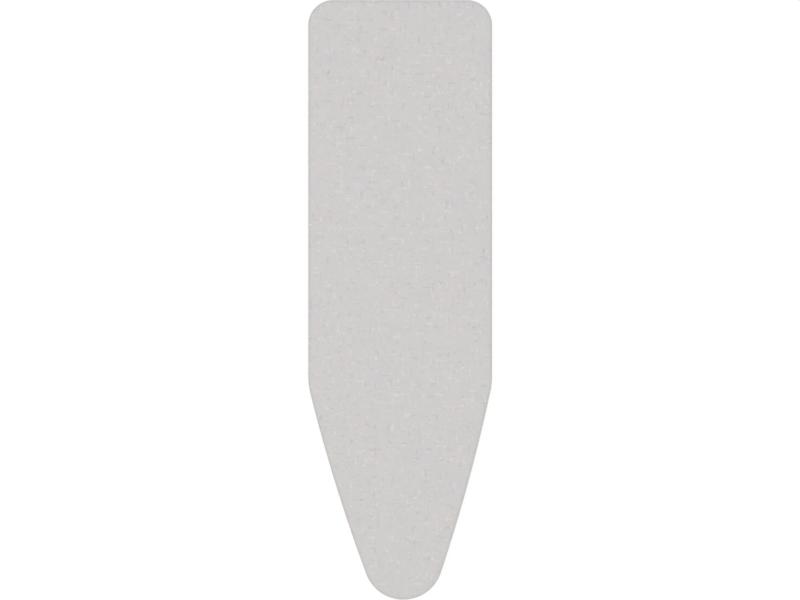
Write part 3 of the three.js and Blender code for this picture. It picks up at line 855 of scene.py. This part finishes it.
def settle(rows, reach):
    """Lets cloth longer than drawn buckle between its held ends, no station further than its reach."""
    count = len(rows[0])
    start = np.concatenate(rows)
    sheet = make_object("settling_cloth", start, quads(len(rows), count))
    held = sheet.vertex_groups.new(name="held")
    for row, weight in HELD_ROWS:
        first = row % len(rows) * count
        held.add(list(range(first, first + count)), weight, "REPLACE")
    cloth = sheet.modifiers.new("cloth", "CLOTH")
    configure(cloth.point_cache, frame_start=1, frame_end=SETTLING_FRAMES)
    configure(cloth.settings, vertex_group_mass=held.name, **CLOTH_SETTINGS)
    cloth.collision_settings.use_collision = False
    for frame_number in range(1, SETTLING_FRAMES + 1):
        scene.frame_set(frame_number)
    settled = sheet.evaluated_get(bpy.context.evaluated_depsgraph_get()).data
    end = np.empty(len(start) * 3)
    settled.vertices.foreach_get("co", end)
    scene.frame_set(1)
    bpy.data.objects.remove(sheet)
    moved = end.reshape(-1, 3) / MM - start
    far = np.linalg.norm(moved, axis=1)
    allowed = np.tile(reach, len(rows))
    moved *= (allowed * np.tanh(far / allowed) / np.maximum(far, LEAST_MOVE))[:, None]
    return np.split(start + moved, len(rows))


def cover_cloth():
    rows, distances = map(list, zip(*edge_rows(), *skirt_rows(), *slot_rows()))
    skirt = slice(ROLL_ROWS + WALL_ROWS, -SLOT_ROWS)
    rows[skirt] = settle(rows[skirt], SKIRT_REACH * (FREE_REACH_SHARE + (1 - FREE_REACH_SHARE) * gather))
    cuts = [in_cut(distance) for distance in distances]
    count = len(rim)
    inner, triangles = fill(rim, TOP_SPACING)
    heights = COVER_TOP + top_waves(inner) * smooth(distance_to(rim, inner) / EDGE_FADE)
    piece = make_piece(
        "cover_cloth",
        np.concatenate([*rows, raised(inner, heights)]),
        [*quads(len(rows), count), *attached(triangles, count, 0, len(rows) * count)],
        [METALLISED_CLOTH, COTTON_BACK],
        closed=False,
        cut=np.concatenate([*cuts, raised(inner, 0)]),
    )
    solidify = piece.modifiers.new("thickness", "SOLIDIFY")
    configure(solidify, thickness=CLOTH_THICKNESS * MM, offset=-1, material_offset=1, material_offset_rim=1)
    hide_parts("cover_fabric")
    return piece, cuts[-1][:, :2]


cloth, cut_outline = cover_cloth()
cut_size = np.ptp(cut_outline, axis=0)


# Padding: a felt pad on the board's top and a thin foam sheet between it and the cloth
LINING_INSET = CLOTH_THICKNESS + SEAT_GAP
PAD_STATION_STEP = 4
PAD_ROUND_STEPS = 3
PAD_SIDE_SHARES = (0.55, 0.8, 1)
PAD_SEED = 21


def pad_inset(height):
    """How far in the padding's edge lies at a height, inside the cloth's rolled edge."""
    rise = max(height - OUTLINE_HEIGHT, 0)
    radius = ROLL_RADIUS - LINING_INSET
    return ROLL_RADIUS - math.sqrt(max(radius**2 - rise**2, 0))


def pad(name, node, material, edge_round, spacing, ripple):
    """A pad in its CAD node's place, with its lower edge rounded and a rippled underside."""
    (*_, bottom), (*_, top) = box_mm(node)
    points, outwards = edge_points[::PAD_STATION_STEP], edge_outwards[::PAD_STATION_STEP]
    rounded = edge_round * (1 - circle(np.linspace(pi / 2, 0, PAD_ROUND_STEPS + 1)))
    section = [*(rounded + (0, bottom)), *((0, bottom + (top - bottom) * share) for share in PAD_SIDE_SHARES)]
    rows = [raised(points - outwards * (pad_inset(z) + inset), z) for inset, z in section]
    lower, lower_faces = fill(rows[0][:, :2], spacing)
    upper, upper_faces = fill(rows[-1][:, :2], spacing * 2)
    rough = np.random.default_rng(PAD_SEED).uniform(0, 1, len(lower))
    lift = ripple * (rough + 1 + top_waves(3 * lower))
    count = len(points)
    first_lower = len(rows) * count
    faces = [
        *quads(len(rows), count)[:, ::-1],
        *attached(lower_faces, count, 0, first_lower)[:, ::-1],
        *attached(upper_faces, count, first_lower - count, first_lower + len(lower)),
    ]
    points = np.concatenate([*rows, raised(lower, bottom + lift), raised(upper, top)])
    piece = make_piece(name, points, faces, [material])
    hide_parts(node)


pad("felt_padding", "felt_pad", FELT, edge_round=0.9, spacing=7.0, ripple=0.12)
pad("foam_sheet", "foam_layer", FOAM, edge_round=0.4, spacing=16.0, ripple=0.02)


# Hem binding: tape folded round the cord, with two flaps that hold the cloth
BEAD_POINTS = 14
BORE_POINTS = 9
FLAP_POINTS = 4
BEAD_PUCKER = 0.22
TAPE_CRUMPLE = 0.04
CRUMPLE_LENGTH = 5
SLOT_BOTTOM = BORE_RADIUS - CLOTH_THICKNESS - 2 * SEAT_GAP
TAPE_UNDER = SLOT_BOTTOM - TAPE_THICKNESS

in_tape = places < MOUTH_STRETCH
tape_places = np.append(places[in_tape], MOUTH_STRETCH)
tape_turns = np.append(turns[in_tape], np.interp(MOUTH_STRETCH, places, turns))
tape_gather = np.append(gather[in_tape], 0)
tape_points, tape_outwards = at(hem, tape_places)
tape_lengths = running_length(tape_points)


def binding_section():
    """The folded tape's section as points (outwards from the cord, upwards), and which lie on its bead."""
    half = TAPE_THICKNESS / 2

    def ring(radius, begin, end, count):
        return radius * circle(np.linspace(begin, end, count))

    def flap_end(middle):
        return (FLAP_REACH - half, middle) + ring(half, -pi / 2, pi / 2, FLAP_POINTS)

    inwards = np.linspace(FLAP_REACH - half, BEAD_RADIUS, FLAP_POINTS)[1:-1]
    outwards = inwards[::-1]
    parts = [
        raised(inwards, BEAD_RADIUS),
        ring(BEAD_RADIUS, pi / 2, 2 * pi, BEAD_POINTS),
        raised(outwards, TAPE_UNDER),
        flap_end(TAPE_UNDER + half),
        raised(inwards, SLOT_BOTTOM),
        ring(BORE_RADIUS, math.asin(SLOT_BOTTOM / BORE_RADIUS), -1.5 * pi, BORE_POINTS),
        raised(outwards, BORE_RADIUS),
        flap_end(BORE_RADIUS + half),
    ]
    on_bead = [number == 1 for number, part in enumerate(parts) for _ in part]
    return np.concatenate(parts), np.array(on_bead)


def hem_binding():
    section, on_bead = binding_section()
    squeeze = BEAD_PUCKER * tape_gather * (1 - np.cos(2 * pi * tape_turns)) / 2
    squeeze += TAPE_CRUMPLE * (1 + wander(tape_lengths / CRUMPLE_LENGTH, count=900, seed=12))
    scale = 1 - on_bead * squeeze[:, None] / BEAD_RADIUS
    out = section[:, 0] * scale
    rise = section[:, 1] * scale - hem_pucker(tape_turns[:, None], tape_gather[:, None], out)
    rings = sweep(raised(tape_points, CORD_HEIGHT), raised(tape_outwards, 0), UP, out, rise)
    run = along_and_round(tape_lengths, running_length(section))
    piece = make_tube("hem_tape", rings, BINDING_TAPE, run=run)
    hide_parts("hem_binding")
    return piece


# Sewing thread
STITCH_PITCH = 3.2
STITCH_LENGTH = 2.5
STITCH_RADIUS = 0.2
STITCH_OUT = 9.2
STITCH_SKEW = 0.06
STITCH_DRIFT = 0.08
STITCH_END_SHARES = ((0, 0.35), (0.4, 0.8))
THREAD_SIDES = 6
POINTS_PER_SWING = 4
END_TACK_INSET = 1.3
END_TACK_REACH = 0.8
END_TACK_PITCH = 0.9


def thread_rings(path, sideways, up, radius):
    """Thread along a path, as points, faces and runs."""
    angle = round_angles(THREAD_SIDES)
    rings = sweep(path, sideways, up, radius * np.cos(angle), radius * np.sin(angle))
    run = along_and_round(running_length(path), angle * radius)
    return rings.reshape(-1, 3), closed_tube_faces(len(path), THREAD_SIDES), run.reshape(-1, 3)


def stitches(places, headings, heights, seed):
    """Round-ended rods of thread along headings, sunk a little below those heights."""
    ends = [(STITCH_LENGTH / 2 - inset * STITCH_RADIUS, girth) for inset, girth in STITCH_END_SHARES]
    rod_x, girth = np.transpose([*((-x, girth) for x, girth in ends), (0, 1), *ends[::-1]])
    path = np.insert(np.zeros((len(rod_x), 2)), 0, rod_x, axis=1)
    rod, rod_faces, _ = thread_rings(path, (0, 1, 0), UP, STITCH_RADIUS * girth[:, None])
    rng = np.random.default_rng(seed)
    made = []
    for number, (place, heading, height) in enumerate(zip(places, headings, heights)):
        skew = rng.uniform(-STITCH_SKEW, STITCH_SKEW)
        across = left_of(heading)
        along = heading * math.cos(skew) + across * math.sin(skew)
        middle = place + across * rng.uniform(-STITCH_DRIFT, STITCH_DRIFT)
        xy = middle + rod[:, :1] * along + rod[:, 1:2] * left_of(along)
        run = rod + (number * STITCH_PITCH, 0, 0)
        made.append((raised(xy, height + rod[:, 2] - STITCH_RADIUS / 4), rod_faces, run))
    return made


def bar_tack(x, begin, end, reach, pitch, height):
    """Thread that zigzags about a line along Y."""
    steps = 2 * int((end - begin) / pitch)
    corners = np.arange(steps + 1)
    swings = np.linspace(0, steps, steps * POINTS_PER_SWING + 1)
    swing = np.interp(swings, corners, np.where(corners % 2, -reach, reach))
    path = raised(np.stack([x + swing, begin + (end - begin) * swings / steps], 1), height)
    tangent = directions(path)
    sideways = unit(np.cross(tangent, UP))
    return thread_rings(path, sideways, np.cross(sideways, tangent), STITCH_RADIUS)


def sewing(name, threads):
    """Threads, each with its points, faces and runs, as one piece."""
    points, thread_faces, runs = zip(*threads)
    faces, first = [], 0
    for part, part_faces in zip(points, thread_faces):
        faces += [[v + first for v in face] for face in part_faces]
        first += len(part)
    return make_piece(name, np.concatenate(points), faces, [THREAD], run=np.concatenate(runs))


def hem_stitches():
    """The stitches along the tape, and a bar tack across each of its ends."""
    middles = np.arange(1, int(tape_lengths[-1] / STITCH_PITCH)) * STITCH_PITCH
    points, outwards = at(hem, np.interp(middles, tape_lengths, tape_places))
    gathers = (np.interp(middles, tape_lengths, values) for values in (tape_turns, tape_gather))
    under = CORD_HEIGHT + TAPE_UNDER
    heights = under - hem_pucker(*gathers, STITCH_OUT)
    threads = stitches(points + outwards * STITCH_OUT, left_of(outwards), heights, seed=3)
    begin = HEM_LINE_Y + BEAD_RADIUS + END_TACK_INSET
    end = HEM_LINE_Y + FLAP_REACH - END_TACK_INSET / 2
    for side in (-1, 1):
        x = side * (BINDING_MOUTH / 2 + END_TACK_INSET)
        threads.append(bar_tack(x, begin, end, END_TACK_REACH, END_TACK_PITCH, under))
    piece = sewing("hem_stitching", threads)
    return piece


# The cloth's own edge between the tape's ends is folded over and sewn
FOLD_GAP = 0.15
FOLD_CLOTH = 0.55
FOLD_NOSE_OUT = 2.9
FOLD_REACH = 9.6
FOLD_STITCH_OUT = 8.4
FOLD_END_GAP = 0.4
FOLD_STATIONS = 25
FOLD_RIPPLE = 0.12
RIPPLE_LENGTH = 5


def fold_ripple(x):
    return FOLD_RIPPLE * wander(x / RIPPLE_LENGTH, count=40, seed=51)


def mouth_fold():
    cloth_middle = SLOT_HEIGHT + CLOTH_THICKNESS / 2
    inner = CLOTH_THICKNESS / 2 + FOLD_GAP
    outer = inner + FOLD_CLOTH
    outs = np.linspace(FOLD_REACH, FOLD_NOSE_OUT, 5)[:-1]
    back = circle(np.linspace(-pi / 2, -1.5 * pi, 9))

    def bent(radius):
        flat = raised(outs, radius)
        return np.concatenate([flat * (1, -1), (FOLD_NOSE_OUT, 0) + radius * back, flat[::-1]])

    section = np.concatenate([bent(outer), bent(inner)[::-1]])
    half = BINDING_MOUTH / 2 - FOLD_END_GAP
    stations = np.linspace(half, -half, FOLD_STATIONS)
    rise = section[:, 1] - fold_ripple(stations)[:, None] * (section[:, 1] < -inner - FOLD_GAP)
    path = np.insert([(HEM_LINE_Y, cloth_middle)] * FOLD_STATIONS, 0, stations, axis=1)
    rings = sweep(path, (0, 1, 0), UP, section[:, 0], rise)
    piece = make_tube("mouth_fold", rings, METALLISED_CLOTH, cut=rings)
    middles = np.arange(-half + STITCH_PITCH / 2, half, STITCH_PITCH)
    heights = cloth_middle - outer - fold_ripple(middles)
    headings = np.tile((1.0, 0.0), (len(middles), 1))
    threads = stitches(raised(middles, HEM_LINE_Y + FOLD_STITCH_OUT), headings, heights, seed=5)
    seam = sewing("mouth_fold_stitching", threads)
    return piece, seam


sewn_on = [hem_binding(), hem_stitches(), *mouth_fold()]


# Elastic straps: ribbed webbing, looped round each hook's bar and sewn back on itself
RIBS = 13
POINTS_PER_RIB = 4
RIB_DEPTH = 0.1
PLY_THICKNESS = 1.06
SELVEDGE_ROUND = 0.35
WIDTH_SPREAD = 0.01
WIDTH_SPREAD_LENGTH = 9
LOOP_WRAP = math.radians(110)
LOOP_STEPS = 25
RETURN_STEPS = 11
RAMP_STEPS = 9
SPAN_STEPS = 39
BARTACKS = (96.0, 108.5)
BARTACK_WIDTH = 21.0
BARTACK_PITCH = 1.3
BARTACK_REACH = 1.1


def strap_path():
    """The ply's middle line in X and Z, from one sewn end round both hooks' bars to the other."""
    return_z = 1.5 * STRAP_THICKNESS
    end = (STRAP_BAR_X - STRAP_RETURN, return_z)
    loop_start = (STRAP_BAR_X - STRAP_LOOP_LENGTH, return_z)
    angle = np.linspace(LOOP_WRAP, -pi / 2, LOOP_STEPS + 1)
    loop = (STRAP_BAR_X, STRAP_BAR_HEIGHT) + STRAP_LOOP_RADIUS * circle(angle)
    low = STRAP_THICKNESS / 2
    half = np.concatenate([
        np.linspace(end, loop_start, RETURN_STEPS + 1),
        np.linspace(loop_start, loop[0], RAMP_STEPS + 1)[1:-1],
        loop,
        np.linspace((STRAP_BAR_X, low), (0, low), SPAN_STEPS + 1)[1:],
    ])
    return np.concatenate([half, half[::-1][1:] * (-1, 1)])


def strap_section(width):
    """Ribbed section of the webbing as points (across, up)."""
    half = width / 2
    across = np.linspace(-half + SELVEDGE_ROUND, half - SELVEDGE_ROUND, RIBS * POINTS_PER_RIB + 1)
    rib = RIB_DEPTH * (1 - np.abs(np.sin(pi * RIBS * (across + half) / width)))
    top = np.stack([across, PLY_THICKNESS / 2 - rib], 1)
    turn = circle(np.linspace(pi / 2, -pi / 2, 5)[1:-1])
    right = (half - SELVEDGE_ROUND, 0) + turn * (SELVEDGE_ROUND, PLY_THICKNESS / 2 - RIB_DEPTH)
    return np.concatenate([top, right, top[::-1] * (1, -1), right[::-1] * (-1, 1)])


def strap(place):
    node = f"strap_{place}"
    low, high = box_mm(node)
    middle_y = (low[1] + high[1]) / 2
    path = strap_path()
    run = running_length(path)
    upright = np.insert(left_of(directions(path)), 1, 0, axis=1)
    across, up = strap_section(high[1] - low[1]).T
    narrowed = 1 - WIDTH_SPREAD * wander(run / WIDTH_SPREAD_LENGTH, count=400, seed=41)[:, None]
    rings = sweep(np.insert(path, 1, middle_y, axis=1), (0, 1, 0), upright, across * narrowed, up)
    piece = make_tube(f"webbing_{place}", rings, WEBBING, run=along_and_round(run, across))
    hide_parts(node)
    upper_face = 1.5 * STRAP_THICKNESS + PLY_THICKNESS / 2
    lower_face = (STRAP_THICKNESS - PLY_THICKNESS) / 2
    begin, end = middle_y - BARTACK_WIDTH / 2, middle_y + BARTACK_WIDTH / 2
    threads = [
        bar_tack(x, begin, end, BARTACK_REACH, BARTACK_PITCH, height)
        for x in (-BARTACKS[0], -BARTACKS[1], *BARTACKS)
        for height in (upper_face, lower_face + STITCH_RADIUS / 2)
    ]
    stitching = sewing(f"webbing_{place}_stitching", threads)


for place in STRAP_PLACES:
    strap(place)


# Lock spring, wound round the press axis
SPRING_TURNS = 5
SPRING_WIRE = 0.25
SPRING_STEPS = 28
SPRING_SIDES = 10


def lock_spring():
    low, high = box_mm("lock_spring")
    middle_y = (low[1] + high[1]) / 2
    coil = (high[2] - low[2]) / 2 - SPRING_WIRE
    x = np.linspace(low[0] + SPRING_WIRE, high[0] - SPRING_WIRE, SPRING_TURNS * SPRING_STEPS + 1)
    turn = circle(np.linspace(0, 2 * pi * SPRING_TURNS, len(x)))
    path = np.insert((middle_y, CORD_HEIGHT) + coil * turn, 0, x, axis=1)
    radial = np.insert(turn, 0, 0, axis=1)
    angle = round_angles(SPRING_SIDES)
    rings = sweep(path, radial, (1, 0, 0), SPRING_WIRE * np.cos(angle), SPRING_WIRE * np.sin(angle))
    piece = make_tube("spring", rings, SPRING_STEEL, "lock")
    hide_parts("lock_spring")
    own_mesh(piece)


lock_spring()


# Moulded pieces keep their CAD shape, with their edges rounded
WELD_DISTANCE = 0.005


def round_edges(node, material, radius, angle):
    """Rounds a CAD node's edges where its faces meet at more than an angle in degrees."""
    shell = frame["nodes"][node]
    shell.data.materials.clear()
    shell.data.materials.append(material)
    shell.data.polygons.foreach_set("use_smooth", [True] * len(shell.data.polygons))
    weld = shell.modifiers.new("weld", "WELD")
    weld.merge_threshold = WELD_DISTANCE * MM
    bevel = shell.modifiers.new("rounding", "BEVEL")
    configure(bevel, width=radius * MM, segments=2, limit_method="ANGLE", harden_normals=True)
    bevel.angle_limit = math.radians(angle)


round_edges("lock_body", LOCK_PLASTIC, radius=0.22, angle=32)
round_edges("cord_end", LOCK_PLASTIC, radius=0.2, angle=32)
round_edges("lock_button", BUTTON_PLASTIC, radius=0.15, angle=32)
for place in STRAP_PLACES:
    for side in ("left", "right"):
        round_edges(f"hook_{place}_{side}", HOOK_PLASTIC, radius=0.3, angle=40)


# Floor, light and background: the lamp's place and size are in metres
FLOOR_HALF = 20000
FLOOR_GLOW = 0.86
FLOOR_DIFFUSE = (0.17, 0.17, 0.17, 1)
WHITE = (1, 1, 1, 1)
WORLD_LIGHT = 0.8
KEY_PLACE = (-0.6, 0.1, 7.8)
KEY_SIZE = 2.4
KEY_POWER = 80.0


def stage():
    """A lamp, and a floor that only the camera sees, white with the object's shadow on it."""
    nodes = Nodes("floor")
    front = nodes.math("SUBTRACT", 1.0, nodes.node("NewGeometry", output="Backfacing"))
    shown = nodes.math("MULTIPLY", nodes.node("LightPath", output="Is Camera Ray"), front)
    diffuse = nodes.node("BsdfDiffuse", {"Color": FLOOR_DIFFUSE})
    glow = nodes.node("Emission", {"Color": WHITE, "Strength": FLOOR_GLOW})
    lit = nodes.node("AddShader", {0: diffuse, 1: glow})
    surface = nodes.node("MixShader", {0: shown, 1: nodes.node("BsdfTransparent"), 2: lit})
    nodes.outputs("OutputMaterial", {"Surface": surface})
    corners = [(x * FLOOR_HALF, y * FLOOR_HALF, 0) for x, y in ((-1, -1), (1, -1), (1, 1), (-1, 1))]
    floor = make_object("floor", corners, [range(4)])
    floor.data.materials.append(nodes.owner)
    floor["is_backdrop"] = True
    lamp = bpy.data.lights.new("key", "AREA")
    lamp.size = KEY_SIZE
    lamp.energy = KEY_POWER
    key = add_object("key", lamp)
    key.location = KEY_PLACE
    key.rotation_euler = Vector(KEY_PLACE).to_track_quat("Z", "Y").to_euler()
    key.visible_camera = False


def world():
    """White behind the object and in its reflections, and a plain soft light on it."""
    nodes = Nodes("studio", "worlds")
    path = nodes.outputs("LightPath")
    seen = path["Is Camera Ray"]
    for name in ("Is Glossy Ray", "Is Transmission Ray"):
        seen = nodes.math("MAXIMUM", seen, path[name])
    strength = nodes.node("MapRange", {"Value": seen, "To Min": WORLD_LIGHT})
    background = nodes.node("Background", {"Color": WHITE, "Strength": strength})
    nodes.outputs("OutputWorld", {"Surface": background})
    scene.world = nodes.owner


stage()
world()
scene.view_settings.view_transform = "Standard"

visual_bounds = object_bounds()
[[list(corner) for corner in box] for box in (cad_bounds, visual_bounds)]
